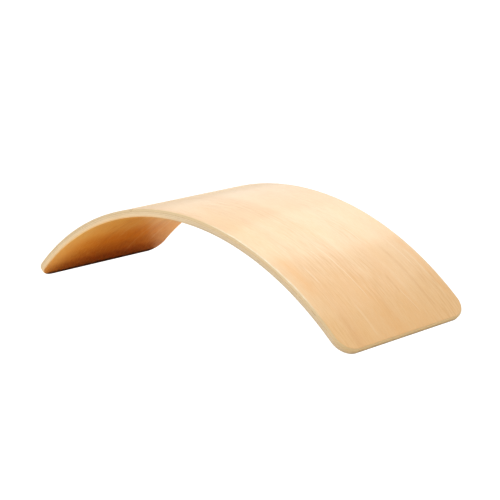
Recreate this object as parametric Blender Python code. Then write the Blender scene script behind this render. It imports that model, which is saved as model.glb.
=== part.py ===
"""A curved balance board: beech veneers pressed and glued into one bent panel.

The flat blank is shaped first, then sliced into its plies, and each ply is bent onto the
arc. In the blank X runs along the board, Y across it, and Z is 0 on the face that will
be convex and goes down through the plies. All lengths are in metres.
"""

from math import ceil, cos, radians, sin

import bmesh
import bpy

# Outline of the board
ARC_RADIUS = 0.563  # of the convex face
ARC_ANGLE = radians(91.0)  # from end to end
BOARD_WIDTH = 0.300
CORNER_RADIUS = 0.0325  # in plan
RIM_ROUND = 0.004  # round-over along the rims of both faces
MOST_RIM_SHARE = 0.45  # of the thickness, so that the two round-overs never meet

# Lay-up
FACE_VENEER = 0.00065
CORE_VENEER = 0.0013
CORE_PLIES = 9
GLUE_LINE = 0.0001

# Facets
ARC_STEP = 0.022  # longest facet along the arc
CORNER_STEP = 0.0075  # longest facet along the arc beside a plan corner
CORNER_SEGMENTS = 6
RIM_SEGMENTS = 5

SAME_PLACE = 1e-6  # vertices closer than this to a cutting plane count as on it
SHARP_FROM = radians(30)  # edges bent more than this stay crisp

FACE_COLOUR = (0.79, 0.58, 0.36)
LONG_COLOUR = (0.70, 0.50, 0.29)
CROSS_COLOUR = (0.58, 0.41, 0.24)
LACQUER_ROUGHNESS = 0.35
BARE_EDGE_ROUGHNESS = 0.5

BLANK_LENGTH = ARC_RADIUS * ARC_ANGLE


def lay_up():
    """Name, thickness and colour of each ply, from the convex face down."""
    plies = [("top_face_veneer", FACE_VENEER, FACE_COLOUR, LACQUER_ROUGHNESS)]
    for number in range(1, CORE_PLIES + 1):
        grain, colour = ("cross", CROSS_COLOUR) if number % 2 else ("long", LONG_COLOUR)
        plies.append((f"core_ply_{number}_{grain}", CORE_VENEER, colour, BARE_EDGE_ROUGHNESS))
    plies.append(("underside_face_veneer", FACE_VENEER, FACE_COLOUR, LACQUER_ROUGHNESS))
    return plies


def board_thickness(plies):
    return sum(ply[1] for ply in plies) + GLUE_LINE * (len(plies) - 1)


def flat_blank(thickness):
    """The whole board before it is bent: a panel with round corners and rounded rims."""
    blank = bmesh.new()
    bmesh.ops.create_cube(blank, size=1.0)
    bmesh.ops.scale(blank, vec=(BLANK_LENGTH, BOARD_WIDTH, thickness), verts=blank.verts)
    bmesh.ops.translate(blank, vec=(0, 0, -thickness / 2), verts=blank.verts)
    upright = [e for e in blank.edges if e.verts[0].co.z != e.verts[1].co.z]
    bmesh.ops.bevel(
        blank, geom=upright, offset=CORNER_RADIUS, offset_type="OFFSET",
        segments=CORNER_SEGMENTS, profile=0.5, affect="EDGES", material=-1,
    )
    rims = [e for e in blank.edges if abs(e.verts[0].co.z - e.verts[1].co.z) < SAME_PLACE]
    bmesh.ops.bevel(
        blank, geom=rims, offset=min(RIM_ROUND, MOST_RIM_SHARE * thickness), offset_type="OFFSET",
        segments=RIM_SEGMENTS, profile=0.5, affect="EDGES", material=-1,
    )
    return blank


def cut(mesh, place, normal, clear=False):
    """Cuts the mesh by a plane, and clears what lies on the side its normal points to."""
    bmesh.ops.bisect_plane(
        mesh, geom=mesh.verts[:] + mesh.edges[:] + mesh.faces[:], dist=SAME_PLACE,
        plane_co=place, plane_no=normal, clear_outer=clear,
    )


def slice_ply(blank, top, bottom, thickness):
    """One ply of the blank, between two depths. The outer faces keep the blank's own."""
    ply = blank.copy()
    if top > 0:
        cut(ply, (0, 0, -top), (0, 0, 1), clear=True)
    if bottom < thickness - SAME_PLACE:
        cut(ply, (0, 0, -bottom), (0, 0, -1), clear=True)
    bmesh.ops.holes_fill(ply, edges=[e for e in ply.edges if e.is_boundary], sides=0)
    bmesh.ops.recalc_face_normals(ply, faces=ply.faces)
    return ply


def stations():
    """Places along the blank where every ply is cut, so that all bend at the same lines."""
    straight = BLANK_LENGTH / 2 - CORNER_RADIUS
    along = ceil(2 * straight / ARC_STEP)
    corner = ceil(CORNER_RADIUS / CORNER_STEP)
    places = [-straight + 2 * straight * i / along for i in range(along + 1)]
    beside = [straight + CORNER_RADIUS * i / corner for i in range(1, corner)]
    return [-place for place in beside] + places + beside


def bend(ply):
    """Bends a flat ply about the arc's centre, which lies at the origin."""
    for vert in ply.verts:
        angle = vert.co.x / ARC_RADIUS
        radius = ARC_RADIUS + vert.co.z
        vert.co.x = radius * sin(angle)
        vert.co.z = radius * cos(angle)


def wood(name, colour, roughness):
    material = bpy.data.materials.new(name)
    material.use_nodes = True
    shader = material.node_tree.nodes["Principled BSDF"]
    shader.inputs["Base Color"].default_value = (*colour, 1.0)
    shader.inputs["Roughness"].default_value = roughness
    shader.inputs["Metallic"].default_value = 0.0
    return material


def build_board():
    plies = lay_up()
    thickness = board_thickness(plies)
    blank = flat_blank(thickness)
    bent = []
    depth = 0.0
    for name, veneer, colour, roughness in plies:
        ply = slice_ply(blank, depth, depth + veneer, thickness)
        for place in stations():
            cut(ply, (place, 0, 0), (1, 0, 0))
        bend(ply)
        bent.append((name, ply, wood(f"{name}_beech", colour, roughness)))
        depth += veneer + GLUE_LINE
    blank.free()

    board = bpy.data.objects.new("board_on_floor", None)
    board.location.z = -min(vert.co.z for _, ply, _ in bent for vert in ply.verts)
    bpy.context.scene.collection.objects.link(board)
    for name, ply, material in bent:
        mesh = bpy.data.meshes.new(name)
        ply.to_mesh(mesh)
        ply.free()
        mesh.materials.append(material)
        mesh.shade_smooth()
        mesh.set_sharp_from_angle(angle=SHARP_FROM)
        piece = bpy.data.objects.new(name, mesh)
        piece.parent = board
        bpy.context.scene.collection.objects.link(piece)


for old in list(bpy.data.objects):
    bpy.data.objects.remove(old, do_unlink=True)
build_board()
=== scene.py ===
# Curved balance board: beech veneers pressed into one bent panel, seen as it stands on its two ends.
from math import ceil, cos, radians, sin, sqrt

import bmesh
import bpy
from mathutils import Matrix, Vector, noise


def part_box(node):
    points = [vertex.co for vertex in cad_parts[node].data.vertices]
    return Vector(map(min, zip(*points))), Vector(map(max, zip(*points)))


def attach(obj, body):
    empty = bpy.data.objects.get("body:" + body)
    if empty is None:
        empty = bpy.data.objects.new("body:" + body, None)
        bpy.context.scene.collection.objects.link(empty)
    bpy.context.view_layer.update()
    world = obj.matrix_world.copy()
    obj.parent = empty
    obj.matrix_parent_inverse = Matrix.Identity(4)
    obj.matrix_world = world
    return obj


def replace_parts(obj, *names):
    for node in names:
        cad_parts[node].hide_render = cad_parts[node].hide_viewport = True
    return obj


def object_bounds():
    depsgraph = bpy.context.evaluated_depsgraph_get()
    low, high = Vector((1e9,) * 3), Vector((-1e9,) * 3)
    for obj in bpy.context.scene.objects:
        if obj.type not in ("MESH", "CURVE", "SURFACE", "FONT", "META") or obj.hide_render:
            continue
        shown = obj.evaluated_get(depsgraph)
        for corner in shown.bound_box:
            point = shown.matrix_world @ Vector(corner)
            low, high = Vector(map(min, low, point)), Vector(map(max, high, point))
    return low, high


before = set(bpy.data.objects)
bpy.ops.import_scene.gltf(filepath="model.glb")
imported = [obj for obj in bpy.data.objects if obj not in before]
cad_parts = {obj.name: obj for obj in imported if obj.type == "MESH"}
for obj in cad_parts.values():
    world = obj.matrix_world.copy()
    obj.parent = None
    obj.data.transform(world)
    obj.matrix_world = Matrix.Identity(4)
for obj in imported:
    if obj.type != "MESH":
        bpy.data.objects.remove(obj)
cadLow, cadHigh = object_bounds()

samePlace = 1e-6  # metres, for planes that pass through vertices already there

board = {
    "arcRadius": 0.563,  # of the convex face
    "arcAngle": radians(91.0),  # end to end
    "width": cadHigh.y - cadLow.y,
    "cornerRadius": 0.0325,
    "rimRound": 0.004,
    "endTrim": 0.00009,  # the finer rounding would reach this much past each end of the frame's board
    "glueLine": 0.0001,
    "cornerSegments": 18,
    "rimSegments": 14,
    "stripLength": 0.006,  # facets along the straight stretch
    "cornerStrips": 7,
    "waveHeight": 0.00009,  # how far a pressed glue line wanders up and down
    "waveLength": 0.11,
    "waveSlice": 7.3,  # how far apart in the noise two glue lines are drawn from
    "creaseAngle": radians(35.0),  # between faces, past which an edge is drawn sharp
}
board["length"] = board["arcRadius"] * board["arcAngle"] - 2 * board["endTrim"]
board["centreZ"] = cadHigh.z - board["arcRadius"]

pliesDown = sorted(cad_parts, key=lambda node: -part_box(node)[1].z)
plyTops = [cadHigh.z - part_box(node)[1].z for node in pliesDown]
plyBottoms = [top - board["glueLine"] for top in plyTops[1:]]
plyBottoms.append(plyTops[-1] + plyBottoms[0])  # the two face veneers are alike
board["thickness"] = plyBottoms[-1]
print("lay-up:", len(pliesDown), "plies,", round(board["thickness"] * 1000, 2), "mm")


# shaping: the blank is flat first, with X along the board, Y across it and Z down from the convex face

def cutAcross(mesh, place, normal, clear=False):
    bmesh.ops.bisect_plane(
        mesh, geom=mesh.verts[:] + mesh.edges[:] + mesh.faces[:], dist=samePlace,
        plane_co=place, plane_no=normal, clear_outer=clear)


def flatBlank():
    mesh = bmesh.new()
    bmesh.ops.create_cube(mesh, size=1.0)
    bmesh.ops.scale(mesh, vec=(board["length"], board["width"], board["thickness"]), verts=mesh.verts)
    bmesh.ops.translate(mesh, vec=(0, 0, -board["thickness"] / 2), verts=mesh.verts)
    upright = [e for e in mesh.edges if e.verts[0].co.z != e.verts[1].co.z]
    bmesh.ops.bevel(
        mesh, geom=upright, offset=board["cornerRadius"], offset_type="OFFSET",
        segments=board["cornerSegments"], profile=0.5, affect="EDGES", material=-1)
    rims = [e for e in mesh.edges if abs(e.verts[0].co.z - e.verts[1].co.z) < samePlace]
    bmesh.ops.bevel(
        mesh, geom=rims, offset=board["rimRound"], offset_type="OFFSET",
        segments=board["rimSegments"], profile=0.5, affect="EDGES", material=-1)
    return mesh


def sliceLayer(blank, top, bottom):
    layer = blank.copy()
    if top > samePlace:
        cutAcross(layer, (0, 0, -top), (0, 0, 1), clear=True)
    if bottom < board["thickness"] - samePlace:
        cutAcross(layer, (0, 0, -bottom), (0, 0, -1), clear=True)
    bmesh.ops.holes_fill(layer, edges=[e for e in layer.edges if e.is_boundary], sides=0)
    bmesh.ops.recalc_face_normals(layer, faces=layer.faces)
    return layer


def cutStrips(layer):  # narrow strips across the board, so that it can bend smoothly
    straight = board["length"] / 2 - board["cornerRadius"]
    for side in (-1, 1):
        for step in range(board["cornerStrips"]):
            place = straight + board["cornerRadius"] * step / board["cornerStrips"]
            cutAcross(layer, (side * place, 0, 0), (1, 0, 0))
    along = [e for e in layer.edges if abs(e.verts[0].co.x - e.verts[1].co.x) > straight]
    strips = 2 * ceil(straight / board["stripLength"])
    bmesh.ops.subdivide_edges(layer, edges=along, cuts=strips - 1, use_grid_fill=True)


def glueWave(place, line):
    if line in (0, len(pliesDown)):
        return 0.0  # the two outer faces are sanded flat
    spot = Vector((place.x, 2 * place.y, 0)) / board["waveLength"]  # the waves are shorter across
    spot.z = line * board["waveSlice"]
    return board["waveHeight"] * noise.noise(spot)


def followGlueLines(layer, top, bottom, lineAbove, lineBelow):
    for vert in layer.verts:
        share = min(max((-vert.co.z - top) / (bottom - top), 0), 1)
        above, below = glueWave(vert.co, lineAbove), glueWave(vert.co, lineBelow)
        vert.co.z += above * (1 - share) + below * share


def openGap(layer, gap):  # lens-shaped, where a splinter of the core broke out of the sawn edge
    facesOutward = 0.7  # a wall of the edge, and not of the ply's two broad sides
    bluntTip = 0.02  # keeps the two tips of the lens open
    middle = Vector((gap["place"], gap["side"] * board["width"] / 2, -gap["depth"]))
    for end in (-1, 1):
        cutAcross(layer, middle + Vector((end * gap["length"] / 2, 0, 0)), (1, 0, 0))
    walls = [
        face for face in layer.faces
        if face.normal.y * gap["side"] > facesOutward
        and abs(face.calc_center_median().x - middle.x) < gap["length"] / 2]
    bmesh.ops.inset_region(layer, faces=walls, thickness=gap["margin"], use_even_offset=True)
    for vert in {vert for face in walls for vert in face.verts}:
        along = (vert.co.x - middle.x) / (gap["length"] / 2)
        fullness = sqrt(max(bluntTip, 1 - along * along))
        vert.co.z = middle.z + (vert.co.z - middle.z) * fullness
        vert.co.y -= gap["side"] * gap["deep"] * fullness
    for face in walls:
        face.material_index = 1  # the wood inside, in a darker material that paints the shade in the gap


def markFibres(layer, across, skin):
    # "flat" is each point's place in the unbent sheet,
    # "endGrain" is how far the fibres there run into the surface
    flat = layer.verts.layers.float_vector.new("flat")
    endGrain = layer.verts.layers.float.new("endGrain")
    layer.normal_update()
    for vert in layer.verts:
        facing = vert.normal.copy()
        if not skin:
            facing.z = 0
        facing.normalize()
        vert[flat] = vert.co
        vert[endGrain] = abs(facing.y if across else facing.x)


def bendLayer(layer):
    for vert in layer.verts:
        angle = vert.co.x / board["arcRadius"]
        radius = board["arcRadius"] + vert.co.z
        vert.co.x = radius * sin(angle)
        vert.co.z = board["centreZ"] + radius * cos(angle)


def finishPiece(layer, name, materials):
    mesh = bpy.data.meshes.new(name)
    layer.to_mesh(mesh)
    layer.free()
    for material in materials:
        mesh.materials.append(material)
    mesh.shade_smooth()
    mesh.set_sharp_from_angle(angle=board["creaseAngle"])
    piece = bpy.data.objects.new(name, mesh)
    bpy.context.scene.collection.objects.link(piece)
    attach(piece, "root")
    return piece


# materials

def fromPicker(red, green, blue):  # a colour as a picker shows it, 0 to 255, made linear
    shares = [value / 255 for value in (red, green, blue)]
    return [c / 12.92 if c <= 0.04045 else ((c + 0.055) / 1.055) ** 2.4 for c in shares] + [1.0]


def addNode(tree, kind, inputs, **settings):
    node = tree.nodes.new("ShaderNode" + kind)
    for name, value in settings.items():
        setattr(node, name, value)
    for socket, value in inputs.items():
        if isinstance(value, bpy.types.NodeSocket):
            tree.links.new(value, node.inputs[socket])
        else:
            node.inputs[socket].default_value = value
    return node


def calculate(tree, operation, first, second=0.0, third=0.0):
    return addNode(tree, "Math", {0: first, 1: second, 2: third}, operation=operation).outputs[0]


def multiply(tree, first, *others):
    for other in others:
        first = calculate(tree, "MULTIPLY", first, other)
    return first


def spread(tree, value, low, high, lowest=0.0, highest=1.0):  # stretches low..high to lowest..highest
    limits = {"Value": value, "From Min": low, "From Max": high, "To Min": lowest, "To Max": highest}
    return addNode(tree, "MapRange", limits).outputs[0]


def mixColours(tree, factor, first, second):  # sockets 6 and 7 are a Mix node's two colours
    return addNode(tree, "Mix", {0: factor, 6: first, 7: second}, data_type="RGBA").outputs[2]


def grainNoise(tree, sheet, waves, detail, low, high):
    placed = addNode(tree, "Mapping", {"Vector": sheet, "Scale": waves}).outputs[0]
    grey = addNode(tree, "TexNoise", {"Vector": placed, "Scale": 1.0, "Detail": detail}).outputs[0]
    return spread(tree, grey, low, high)


def newGroup(name, inputs, outputs):
    group = bpy.data.node_groups.new(name, "ShaderNodeTree")
    for label, kind in inputs.items():
        group.interface.new_socket(label, in_out="INPUT", socket_type="NodeSocket" + kind)
    for label, kind in outputs.items():
        group.interface.new_socket(label, in_out="OUTPUT", socket_type="NodeSocket" + kind)
    return group, group.nodes.new("NodeGroupInput").outputs, group.nodes.new("NodeGroupOutput").inputs


beechGrain = {
    # waves a metre along the fibres, across them and through the sheet, then the detail,
    # and the grey of the noise where the mark begins and where it is full
    "drift": ((3.0, 9.0, 9.0), 2.0, 0.0, 1.0),  # slow bends in the run of the fibres
    "bands": ((1.6, 24.0, 60.0), 3.0, 0.35, 0.65),
    "blotches": ((8.0, 22.0, 60.0), 3.0, 0.42, 0.7),
    "lively": ((5.0, 13.0, 60.0), 1.0, 0.4, 0.62),  # calm and streaky stretches
    "streaks": ((24.0, 300.0, 300.0), 3.0, 0.42, 0.72),
    "paleStreaks": ((18.0, 340.0, 300.0), 3.0, 0.56, 0.76),
    "fibres": ((60.0, 1500.0, 1800.0), 2.0, 0.35, 0.65),
    "pores": ((2400.0, 2400.0, 2400.0), 1.0, 0.45, 0.7),
    "driftReach": 0.005,  # metres to either side
    "rayCells": (260.0, 1700.0, 1700.0),
    "emptyCells": 0.5,  # the share of them that holds no ray
    "rayReach": (0.34, 0.16),  # from a ray's faint outline in to its dark middle, in cells
    "rayDepth": 0.7,  # against the height of a fibre as 1
    "poreDepth": 2.5,
    "sawnTone": (0.15, 0.55),  # how much darker end grain is, between its pores and in them
    "dryness": {"fibres": 0.4, "streaks": 0.3, "endGrain": 0.6},
}


def fleckMask(tree, sheet):  # the short dark lines of beech's rays, about 3 mm by 0.5 mm
    placed = addNode(tree, "Mapping", {"Vector": sheet, "Scale": beechGrain["rayCells"]}).outputs[0]
    cells = addNode(tree, "TexVoronoi", {"Vector": placed, "Scale": 1.0}).outputs
    chance = addNode(tree, "SeparateColor", {0: cells["Color"]}).outputs[0]
    shown = calculate(tree, "GREATER_THAN", chance, beechGrain["emptyCells"])
    return multiply(tree, spread(tree, cells["Distance"], *beechGrain["rayReach"]), shown)


def beechFigureGroup():  # sliced beech: X along the fibres, in metres
    group, given, result = newGroup(
        "beechFigure",
        {"Sheet": "Vector", "End Grain": "Float",
         "Pale": "Color", "Ruddy": "Color", "Deep": "Color", "Honey": "Color", "Sap": "Color",
         "Band": "Float", "Blotch": "Float", "Streak": "Float", "Fibre": "Float", "Fleck": "Float"},
        {"Colour": "Color", "Height": "Float", "Dryness": "Float"})
    sheet = given["Sheet"]
    reach = beechGrain["driftReach"]
    drift = spread(group, grainNoise(group, sheet, *beechGrain["drift"]), 0, 1, -reach, reach)
    aside = addNode(group, "CombineXYZ", {1: drift}).outputs[0]
    sheet = addNode(group, "VectorMath", {0: sheet, 1: aside}, operation="ADD").outputs[0]

    bands = grainNoise(group, sheet, *beechGrain["bands"])
    blotches = grainNoise(group, sheet, *beechGrain["blotches"])
    lively = grainNoise(group, sheet, *beechGrain["lively"])
    streaks = multiply(group, grainNoise(group, sheet, *beechGrain["streaks"]), lively)
    paleStreaks = multiply(group, grainNoise(group, sheet, *beechGrain["paleStreaks"]), lively)
    fibres = grainNoise(group, sheet, *beechGrain["fibres"])
    flecks = fleckMask(group, sheet)
    pores = grainNoise(group, given["Sheet"], *beechGrain["pores"])

    colour = mixColours(group, multiply(group, bands, given["Band"]), given["Pale"], given["Ruddy"])
    colour = mixColours(group, multiply(group, blotches, given["Blotch"]), colour, given["Honey"])
    for mask, strength in ((streaks, "Streak"), (fibres, "Fibre"), (flecks, "Fleck")):
        colour = mixColours(group, multiply(group, mask, given[strength]), colour, given["Deep"])
    colour = mixColours(group, multiply(group, paleStreaks, given["Streak"]), colour, given["Sap"])
    sawnEnds = spread(group, pores, 0, 1, *beechGrain["sawnTone"])
    colour = mixColours(group, multiply(group, given["End Grain"], sawnEnds), colour, given["Deep"])
    group.links.new(colour, result["Colour"])

    sliced = calculate(group, "MULTIPLY_ADD", flecks, -beechGrain["rayDepth"], fibres)
    sawn = multiply(group, pores, given["End Grain"], beechGrain["poreDepth"])
    group.links.new(calculate(group, "SUBTRACT", sliced, sawn), result["Height"])
    dry = beechGrain["dryness"]
    dryness = multiply(group, streaks, dry["streaks"])
    dryness = calculate(group, "MULTIPLY_ADD", fibres, dry["fibres"], dryness)
    dryness = calculate(group, "MULTIPLY_ADD", given["End Grain"], dry["endGrain"], dryness)
    group.links.new(dryness, result["Dryness"])
    return group


grainLineShape = {
    "wander": 0.0016,  # metres to either side
    "wanderWaves": ((30.0, 4.0, 1.0), 2.0, 0.0, 1.0),
    "breaks": ((70.0, 700.0, 1.0), 2.0, 0.35, 0.65),
    "faintest": 0.45,  # where the line is most broken up
    "fadesFrom": 0.4,  # the square of a share of its half length
}


# one long line or band in the veneer, full along its middle and fading to its sides and ends
def grainLineGroup():
    group, given, result = newGroup(
        "grainLine",
        {"Sheet": "Vector", "Start": "Float", "End": "Float", "Across": "Float", "Slant": "Float",
         "Width": "Float", "Strength": "Float"},
        {"Mask": "Float"})
    sheet = given["Sheet"]
    wander = grainLineShape["wander"]
    place = addNode(group, "SeparateXYZ", {0: sheet}).outputs
    fromStart = calculate(group, "SUBTRACT", place[0], given["Start"])
    middle = calculate(group, "MULTIPLY_ADD", fromStart, given["Slant"], given["Across"])
    winding = grainNoise(group, sheet, *grainLineShape["wanderWaves"])
    winding = spread(group, winding, 0, 1, -wander, wander)
    aside = calculate(group, "ADD", calculate(group, "SUBTRACT", place[1], middle), winding)
    aside = calculate(group, "ABSOLUTE", aside)
    sides = {"Value": aside, "From Min": 0.0, "From Max": given["Width"], "To Min": 1.0, "To Max": 0.0}
    sides = addNode(group, "MapRange", sides, interpolation_type="SMOOTHSTEP").outputs[0]
    share = spread(group, place[0], given["Start"], given["End"], -1.0, 1.0)
    ends = spread(group, multiply(group, share, share), grainLineShape["fadesFrom"], 1.0, 1.0, 0.0)
    broken = grainNoise(group, sheet, *grainLineShape["breaks"])
    broken = spread(group, broken, 0, 1, grainLineShape["faintest"], 1.0)
    group.links.new(multiply(group, sides, ends, broken, given["Strength"]), result["Mask"])
    return group


paintedRimReach = {  # painted light and shade on the rims; reaches are shares of the rim's radius, in from its broad face
    "begins": (0.01, 0.1),
    "upperFades": (0.4, 1.4),
    "lowerFades": (0.4, 2.4),
    "shadedFrom": (-0.02, 0.10),  # metres along the board, past which the lower rim is painted darker, as shade where it turns from the light
}


def paintedRimLightGroup():  # painted light and shade on the rounded rims, between the broad faces and the sawn edge
    group, given, result = newGroup(
        "paintedRimLight", {"Sheet": "Vector"}, {"Upper": "Float", "Lower": "Float", "Shaded": "Float"})
    place = addNode(group, "SeparateXYZ", {0: given["Sheet"]}).outputs
    radius = board["rimRound"]
    rimShading = {}
    for label, face, inward in (("Upper", 0, -radius), ("Lower", -board["thickness"], radius)):
        begins = [face + inward * share for share in paintedRimReach["begins"]]
        fades = [face + inward * share for share in paintedRimReach[label.lower() + "Fades"]]
        rimShading[label] = multiply(
            group, spread(group, place[2], *begins), spread(group, place[2], *fades, 1.0, 0.0))
    rimShading["Shaded"] = multiply(group, rimShading["Lower"], spread(group, place[0], *paintedRimReach["shadedFrom"]))
    for label, mask in rimShading.items():
        group.links.new(mask, result[label])
    return group


def drawGrainLines(tree, sheet, colour, lines):
    for line in lines:
        mark = addNode(tree, "Group", {}, node_tree=grainLine)
        tree.links.new(sheet, mark.inputs["Sheet"])
        for label in ("Start", "End", "Across", "Slant", "Width", "Strength"):
            mark.inputs[label].default_value = line[label]
        colour = mixColours(tree, mark.outputs["Mask"], colour, line["Colour"])
    return colour


def woodMaterial(name, finish, crossGrain=False, lines=()):
    material = bpy.data.materials.new(name)
    material.use_nodes = True
    tree = material.node_tree
    shader = tree.nodes["Principled BSDF"]
    sheet = addNode(tree, "Attribute", {}, attribute_name="flat").outputs["Vector"]
    along = sheet
    if crossGrain:  # the fibres of this sheet run across the board
        parts = addNode(tree, "SeparateXYZ", {0: sheet}).outputs
        along = addNode(tree, "CombineXYZ", {0: parts[1], 1: parts[0], 2: parts[2]}).outputs[0]
    figure = addNode(tree, "Group", {}, node_tree=beechFigure)
    tree.links.new(along, figure.inputs["Sheet"])
    sawn = addNode(tree, "Attribute", {}, attribute_name="endGrain").outputs["Fac"]
    tree.links.new(sawn, figure.inputs["End Grain"])
    for label in ("Pale", "Ruddy", "Deep", "Honey", "Sap", "Band", "Blotch", "Streak", "Fibre", "Fleck"):
        figure.inputs[label].default_value = finish[label]
    rims = addNode(tree, "Group", {}, node_tree=paintedRimLight)
    tree.links.new(sheet, rims.inputs["Sheet"])
    colour = figure.outputs["Colour"]
    # paint light and shade on the rims: a greyer upper rim, a paler lower rim lit from below, and a greyer
    # lower rim past the middle
    for label in ("Upper", "Lower", "Shaded"):
        rimShading = multiply(tree, rims.outputs[label], finish["rimTone"])
        colour = mixColours(tree, rimShading, colour, finish[label + "Rim"])
    colour = drawGrainLines(tree, sheet, colour, lines)
    tree.links.new(colour, shader.inputs["Base Color"])
    rough = spread(tree, figure.outputs["Dryness"], 0, 1, *finish["roughness"])
    tree.links.new(rough, shader.inputs["Roughness"])
    bump = {"Height": figure.outputs["Height"], "Distance": finish["relief"], "Strength": 1.0}
    tree.links.new(addNode(tree, "Bump", bump).outputs[0], shader.inputs["Normal"])
    shader.inputs["Coat Weight"].default_value = finish["coat"]
    shader.inputs["Coat Roughness"].default_value = finish["coatRoughness"]
    return material


beechFigure = beechFigureGroup()
grainLine = grainLineGroup()
paintedRimLight = paintedRimLightGroup()
lacqueredFace = {
    "Pale": fromPicker(243, 209, 160), "Ruddy": fromPicker(240, 198, 148), "Deep": fromPicker(214, 164, 104),
    "Honey": fromPicker(238, 188, 118), "Sap": fromPicker(252, 226, 184),
    # the three rim colours are painted shade on the upper rim, painted light from below on the lower rim,
    # and painted shade on the lower rim past the middle
    "UpperRim": fromPicker(221, 197, 155), "LowerRim": fromPicker(243, 221, 190),
    "ShadedRim": fromPicker(198, 188, 172), "rimTone": 0.9,
    "Band": 0.65, "Blotch": 0.3, "Streak": 0.48, "Fibre": 0.27, "Fleck": 0.3,
    "roughness": (0.36, 0.52), "relief": 0.000012, "coat": 0.5, "coatRoughness": 0.18,
}
longEdge = dict(
    lacqueredFace, Pale=fromPicker(236, 222, 199), Ruddy=fromPicker(230, 212, 185),
    Deep=fromPicker(194, 170, 138), Honey=fromPicker(232, 206, 170), Sap=fromPicker(246, 234, 212),
    roughness=(0.42, 0.6))
crossEdge = dict(
    longEdge, Pale=fromPicker(230, 216, 190), Ruddy=fromPicker(224, 206, 176),
    Deep=fromPicker(186, 162, 128), Honey=fromPicker(224, 200, 162), relief=0.00003)
# the underside veneer takes deeper, more saturated colours than the top veneer, standing in for warm bounce
# light and shade under the arch; its paler lower rim is painted light
underFace = dict(
    lacqueredFace, Pale=fromPicker(254, 216, 130), Ruddy=fromPicker(253, 202, 110),
    Deep=fromPicker(216, 140, 58), Honey=fromPicker(252, 192, 94), Sap=fromPicker(255, 232, 164),
    LowerRim=fromPicker(255, 238, 208), coat=0.35, Streak=0.6)
# painted shade: a much darker wood for the inside of the broken-out gaps
gapShadeWood = dict(crossEdge, Pale=fromPicker(120, 84, 48))
gluedSeam = dict(
    crossEdge, Pale=fromPicker(176, 140, 96), Ruddy=fromPicker(166, 130, 86), Deep=fromPicker(132, 100, 64))


# in the unbent sheet, in metres: start and end are from the middle of the board, across from its centre line
def grainMark(start, end, across, width, strength, colour, slant=0.0):
    return {"Start": start, "End": end, "Across": across, "Width": width, "Strength": strength,
            "Colour": colour, "Slant": slant}


sapwood, autumnWood = fromPicker(252, 228, 190), fromPicker(205, 152, 96)
honeyWood, knotBrown = fromPicker(238, 172, 92), fromPicker(150, 92, 60)
rimHighlight = fromPicker(255, 246, 224)
topLines = [
    grainMark(0.240, 0.372, -0.030, 0.0018, 0.85, sapwood),  # the clearest of the pale lines
    grainMark(0.360, 0.420, 0.042, 0.0016, 0.6, sapwood, slant=0.16),
    grainMark(0.270, 0.316, -0.096, 0.0026, 0.6, sapwood),
    grainMark(0.190, 0.340, 0.004, 0.0100, 0.22, sapwood),
    grainMark(0.290, 0.366, 0.128, 0.0024, 0.55, sapwood),
    grainMark(0.255, 0.330, 0.114, 0.0024, 0.5, sapwood),
    grainMark(0.370, 0.440, -0.066, 0.0040, 0.4, sapwood),
    grainMark(0.290, 0.410, 0.058, 0.0070, 0.2, sapwood),
    grainMark(0.375, 0.450, -0.110, 0.0110, 0.25, autumnWood),
    grainMark(0.330, 0.376, 0.040, 0.0040, 0.35, autumnWood),
    grainMark(0.260, 0.430, 0.087, 0.0060, 0.3, autumnWood),
    grainMark(0.230, 0.340, -0.122, 0.0200, 0.4, honeyWood),
    grainMark(0.240, 0.420, 0.136, 0.0100, 0.3, honeyWood),
    grainMark(0.250, 0.640, -0.020, 0.2500, 0.3, honeyWood),  # a broad tint at the right end
    grainMark(-0.160, 0.140, 0.060, 0.1600, 0.25, sapwood),  # painted sheen: a broad pale stretch where the crest catches the light
    # a painted highlight along the front rim
    grainMark(0.080, 0.380, -0.1478, 0.0042, 0.8, rimHighlight),
    grainMark(-0.108, -0.097, -0.1490, 0.0045, 1.2, knotBrown),  # a small knot at the front rim
]
# colours of painted shade and warm bounce light under the arch; the darker one also draws fine dark grain
# lines
amberShade, shadeAndDarkGrain = fromPicker(236, 156, 10), fromPicker(172, 78, 2)
# the pale colour paints light along the front edge of the underside and also draws pale grain lines
footShade, paleGrainAndLight = fromPicker(80, 28, 0), fromPicker(255, 232, 172)
# a grey for painted shade on the front rim
shadedRimGrey = fromPicker(206, 182, 142)
underLines = [  # painted shade and warm bounce light that deepen towards the feet, then painted light and shade along the front edge and rim, then the fine grain lines
    grainMark(-0.560, -0.290, 0.030, 0.3000, 1.2, amberShade),
    grainMark(-0.540, -0.360, 0.030, 0.3400, 0.45, shadeAndDarkGrain),
    grainMark(-0.500, -0.400, 0.030, 0.3400, 0.8, shadeAndDarkGrain),
    # a painted contact shadow where the left foot meets the floor
    grainMark(-0.466, -0.434, 0.000, 0.5000, 1.4, footShade),
    grainMark(0.300, 0.560, -0.030, 0.3000, 0.8, amberShade),
    # painted light: a paler band along the front edge, lit from the front
    grainMark(-0.440, -0.120, -0.150, 0.0700, 0.45, paleGrainAndLight),
    # painted shade on the front rim, past the middle
    grainMark(0.000, 0.700, -0.150, 0.0100, 1.2, shadedRimGrey),
    grainMark(-0.420, -0.230, 0.020, 0.0100, 0.16, shadeAndDarkGrain, slant=0.10),
    grainMark(-0.400, -0.260, 0.070, 0.0080, 0.16, shadeAndDarkGrain, slant=0.06),
    grainMark(-0.380, -0.180, -0.045, 0.0070, 0.16, shadeAndDarkGrain),
    grainMark(-0.430, -0.280, 0.046, 0.0040, 0.3, paleGrainAndLight, slant=0.08),
    grainMark(-0.400, -0.290, 0.096, 0.0036, 0.3, paleGrainAndLight, slant=0.05),
    grainMark(-0.360, -0.200, -0.012, 0.0040, 0.3, paleGrainAndLight),
]
topBeech = woodMaterial("lacqueredBeechTop", lacqueredFace, lines=topLines)
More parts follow.
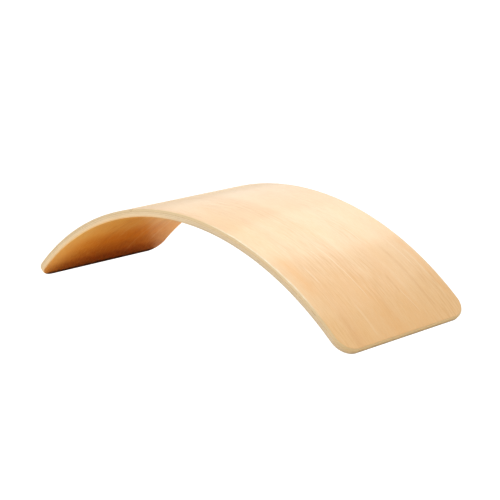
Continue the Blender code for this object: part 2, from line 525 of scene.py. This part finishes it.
underBeech = woodMaterial("lacqueredBeechUnder", underFace, lines=underLines)
longBeech = woodMaterial("coreBeechLong", longEdge)
crossBeech = woodMaterial("coreBeechCross", crossEdge, crossGrain=True)
gapShadeBeech = woodMaterial("gapShadeCoreBeech", gapShadeWood, crossGrain=True)
glueAmber = woodMaterial("gluedSeam", gluedSeam)
print("materials made")

# the lay-up

# by ply, counted from the top face veneer as 0: side is -1 at the front edge, and margin is the wood
# left above and below the gap
coreGaps = {
    2: [{"side": -1, "place": -0.102, "length": 0.006, "margin": 0.00018, "deep": 0.0006}],
    3: [{"side": -1, "place": 0.363, "length": 0.010, "margin": 0.0002, "deep": 0.0012},
        {"side": 1, "place": -0.205, "length": 0.007, "margin": 0.0003, "deep": 0.0009}],
    4: [{"side": -1, "place": 0.270, "length": 0.006, "margin": 0.0003, "deep": 0.0008}],
    6: [{"side": -1, "place": 0.225, "length": 0.007, "margin": 0.0003, "deep": 0.0008}],
    7: [{"side": 1, "place": 0.118, "length": 0.009, "margin": 0.0003, "deep": 0.0010}],
}


def pressPly(blank, number):
    node, top, bottom = pliesDown[number], plyTops[number], plyBottoms[number]
    across = "cross" in node
    skin = number in (0, len(pliesDown) - 1)
    layer = sliceLayer(blank, top, bottom)
    cutStrips(layer)
    for gap in coreGaps.get(number, []):
        openGap(layer, dict(gap, depth=(top + bottom) / 2))
    markFibres(layer, across, skin)
    followGlueLines(layer, top, bottom, number, number + 1)
    bendLayer(layer)
    if skin:
        slot, materials = "face_veneer", [topBeech if number == 0 else underBeech]
    elif across:
        slot, materials = "core_cross_grain", [crossBeech, gapShadeBeech]
    else:
        slot, materials = "core_long_grain", [longBeech, gapShadeBeech]
    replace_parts(finishPiece(layer, node + "_sheet", materials), node)


glueFilm = {
    "back": 0.00006,  # how far it lies behind the sanded edge
    "slack": 0.02 * board["glueLine"],  # clear of the plies above and below
}


def spreadGlue(blank, number):  # the film between a ply and the next
    top, bottom = plyBottoms[number] + glueFilm["slack"], plyTops[number + 1] - glueFilm["slack"]
    layer = sliceLayer(blank, top, bottom)
    cutStrips(layer)
    shrink = (1 - 2 * glueFilm["back"] / board["length"], 1 - 2 * glueFilm["back"] / board["width"], 1)
    bmesh.ops.scale(layer, vec=shrink, verts=layer.verts)
    markFibres(layer, False, False)
    followGlueLines(layer, top, bottom, number + 1, number + 1)
    bendLayer(layer)
    finishPiece(layer, "glue_film_" + str(number + 1), [glueAmber])


blank = flatBlank()
for number in range(len(pliesDown)):
    pressPly(blank, number)
for number in range(len(pliesDown) - 1):
    spreadGlue(blank, number)
blank.free()
print("plies and glue films pressed")

# studio

studio = {
    "floorReach": 12.0,
    "floorDrop": 0.0002,  # just below the two ends of the board
    "floorBounce": (1.0, 0.87, 0.65, 1),
    "floorRoughness": 0.9,
    "whiteness": 1.0,  # as seen behind the board
    "horizonLight": 0.56,
    "zenithLight": 0.66,
    "brightens": (0.1, 0.9),  # how steeply up, from the one light to the other
    "softboxAim": (0, 0, 0.1),
    "softboxes": {  # place, size in metres and power in watts
        "frontSoftbox": ((0, -1.3, 1.8), 1.5, 12),
        "backSoftbox": ((0, 1.3, 1.8), 1.4, 4),
        "sheenPanel": ((-0.75, 1.7, 1.6), 1.0, 3.4),  # its gleam whitens the crest
        "lowSheenPanel": ((-1.4, 1.5, 0.9), 1.2, 1.5),
    },
}


def layFloor():
    mesh = bpy.data.meshes.new("studio_floor")
    sheet = bmesh.new()
    bmesh.ops.create_grid(sheet, x_segments=1, y_segments=1, size=studio["floorReach"])
    bmesh.ops.translate(sheet, vec=(0, 0, -studio["floorDrop"]), verts=sheet.verts)
    sheet.to_mesh(mesh)
    sheet.free()
    material = bpy.data.materials.new("paleFloor")
    material.use_nodes = True
    tree = material.node_tree
    shader = tree.nodes["Principled BSDF"]
    shader.inputs["Base Color"].default_value = studio["floorBounce"]
    shader.inputs["Roughness"].default_value = studio["floorRoughness"]
    glow = addNode(tree, "Emission", {"Color": (1, 1, 1, 1), "Strength": studio["whiteness"]})
    seen = addNode(tree, "LightPath", {}).outputs["Is Camera Ray"]
    both = addNode(tree, "MixShader", {0: seen, 1: shader.outputs[0], 2: glow.outputs[0]})
    tree.links.new(both.outputs[0], tree.nodes["Material Output"].inputs["Surface"])
    mesh.materials.append(material)
    floor = bpy.data.objects.new("studio_floor", mesh)
    bpy.context.scene.collection.objects.link(floor)


def lightWorld():  # a white room with a bright ceiling
    world = bpy.data.worlds.new("whiteRoom")
    bpy.context.scene.world = world
    world.use_nodes = True
    tree = world.node_tree
    background = tree.nodes["Background"]
    direction = addNode(tree, "TexCoord", {}).outputs["Generated"]
    upward = addNode(tree, "SeparateXYZ", {0: direction}).outputs[2]
    room = spread(tree, upward, *studio["brightens"], studio["horizonLight"], studio["zenithLight"])
    seen = addNode(tree, "LightPath", {}).outputs["Is Camera Ray"]
    strength = addNode(tree, "Mix", {0: seen, 2: room, 3: studio["whiteness"]}).outputs[0]
    tree.links.new(strength, background.inputs["Strength"])
    background.inputs["Color"].default_value = (1, 1, 1, 1)


def hangSoftbox(name, place, size, power):
    lamp = bpy.data.lights.new(name, "AREA")
    lamp.shape = "DISK"
    lamp.size = size
    lamp.energy = power
    box = bpy.data.objects.new(name, lamp)
    away = Vector(place) - Vector(studio["softboxAim"])
    box.matrix_world = Matrix.Translation(place) @ away.to_track_quat("Z", "Y").to_matrix().to_4x4()
    bpy.context.scene.collection.objects.link(box)


view = {
    "aim": Vector((0.038, 0, cadHigh.z / 2)),
    "azimuth": radians(46.8),
    "elevation": radians(13.3),
    "roll": radians(-1.88),
    "distance": 2.554,
    "lens": 105.4,  # millimetres, like the sensor's width
    "sensor": 36,
    "farthest": 50,
}


def setCamera():
    back = Vector((
        sin(view["azimuth"]) * cos(view["elevation"]),
        -cos(view["azimuth"]) * cos(view["elevation"]),
        sin(view["elevation"])))
    lens = bpy.data.cameras.new("camera")
    lens.lens = view["lens"]
    lens.sensor_width = view["sensor"]
    lens.clip_end = view["farthest"]
    camera = bpy.data.objects.new("camera", lens)
    turn = back.to_track_quat("Z", "Y").to_matrix() @ Matrix.Rotation(view["roll"], 3, "Z")
    camera.matrix_world = Matrix.Translation(view["aim"] + view["distance"] * back) @ turn.to_4x4()
    bpy.context.scene.collection.objects.link(camera)
    bpy.context.scene.camera = camera


layFloor()
lightWorld()
for name, softbox in studio["softboxes"].items():
    hangSoftbox(name, *softbox)
setCamera()
bpy.context.scene.view_settings.view_transform = "Standard"
bpy.context.scene.view_settings.look = "Medium High Contrast"
print("studio lit")
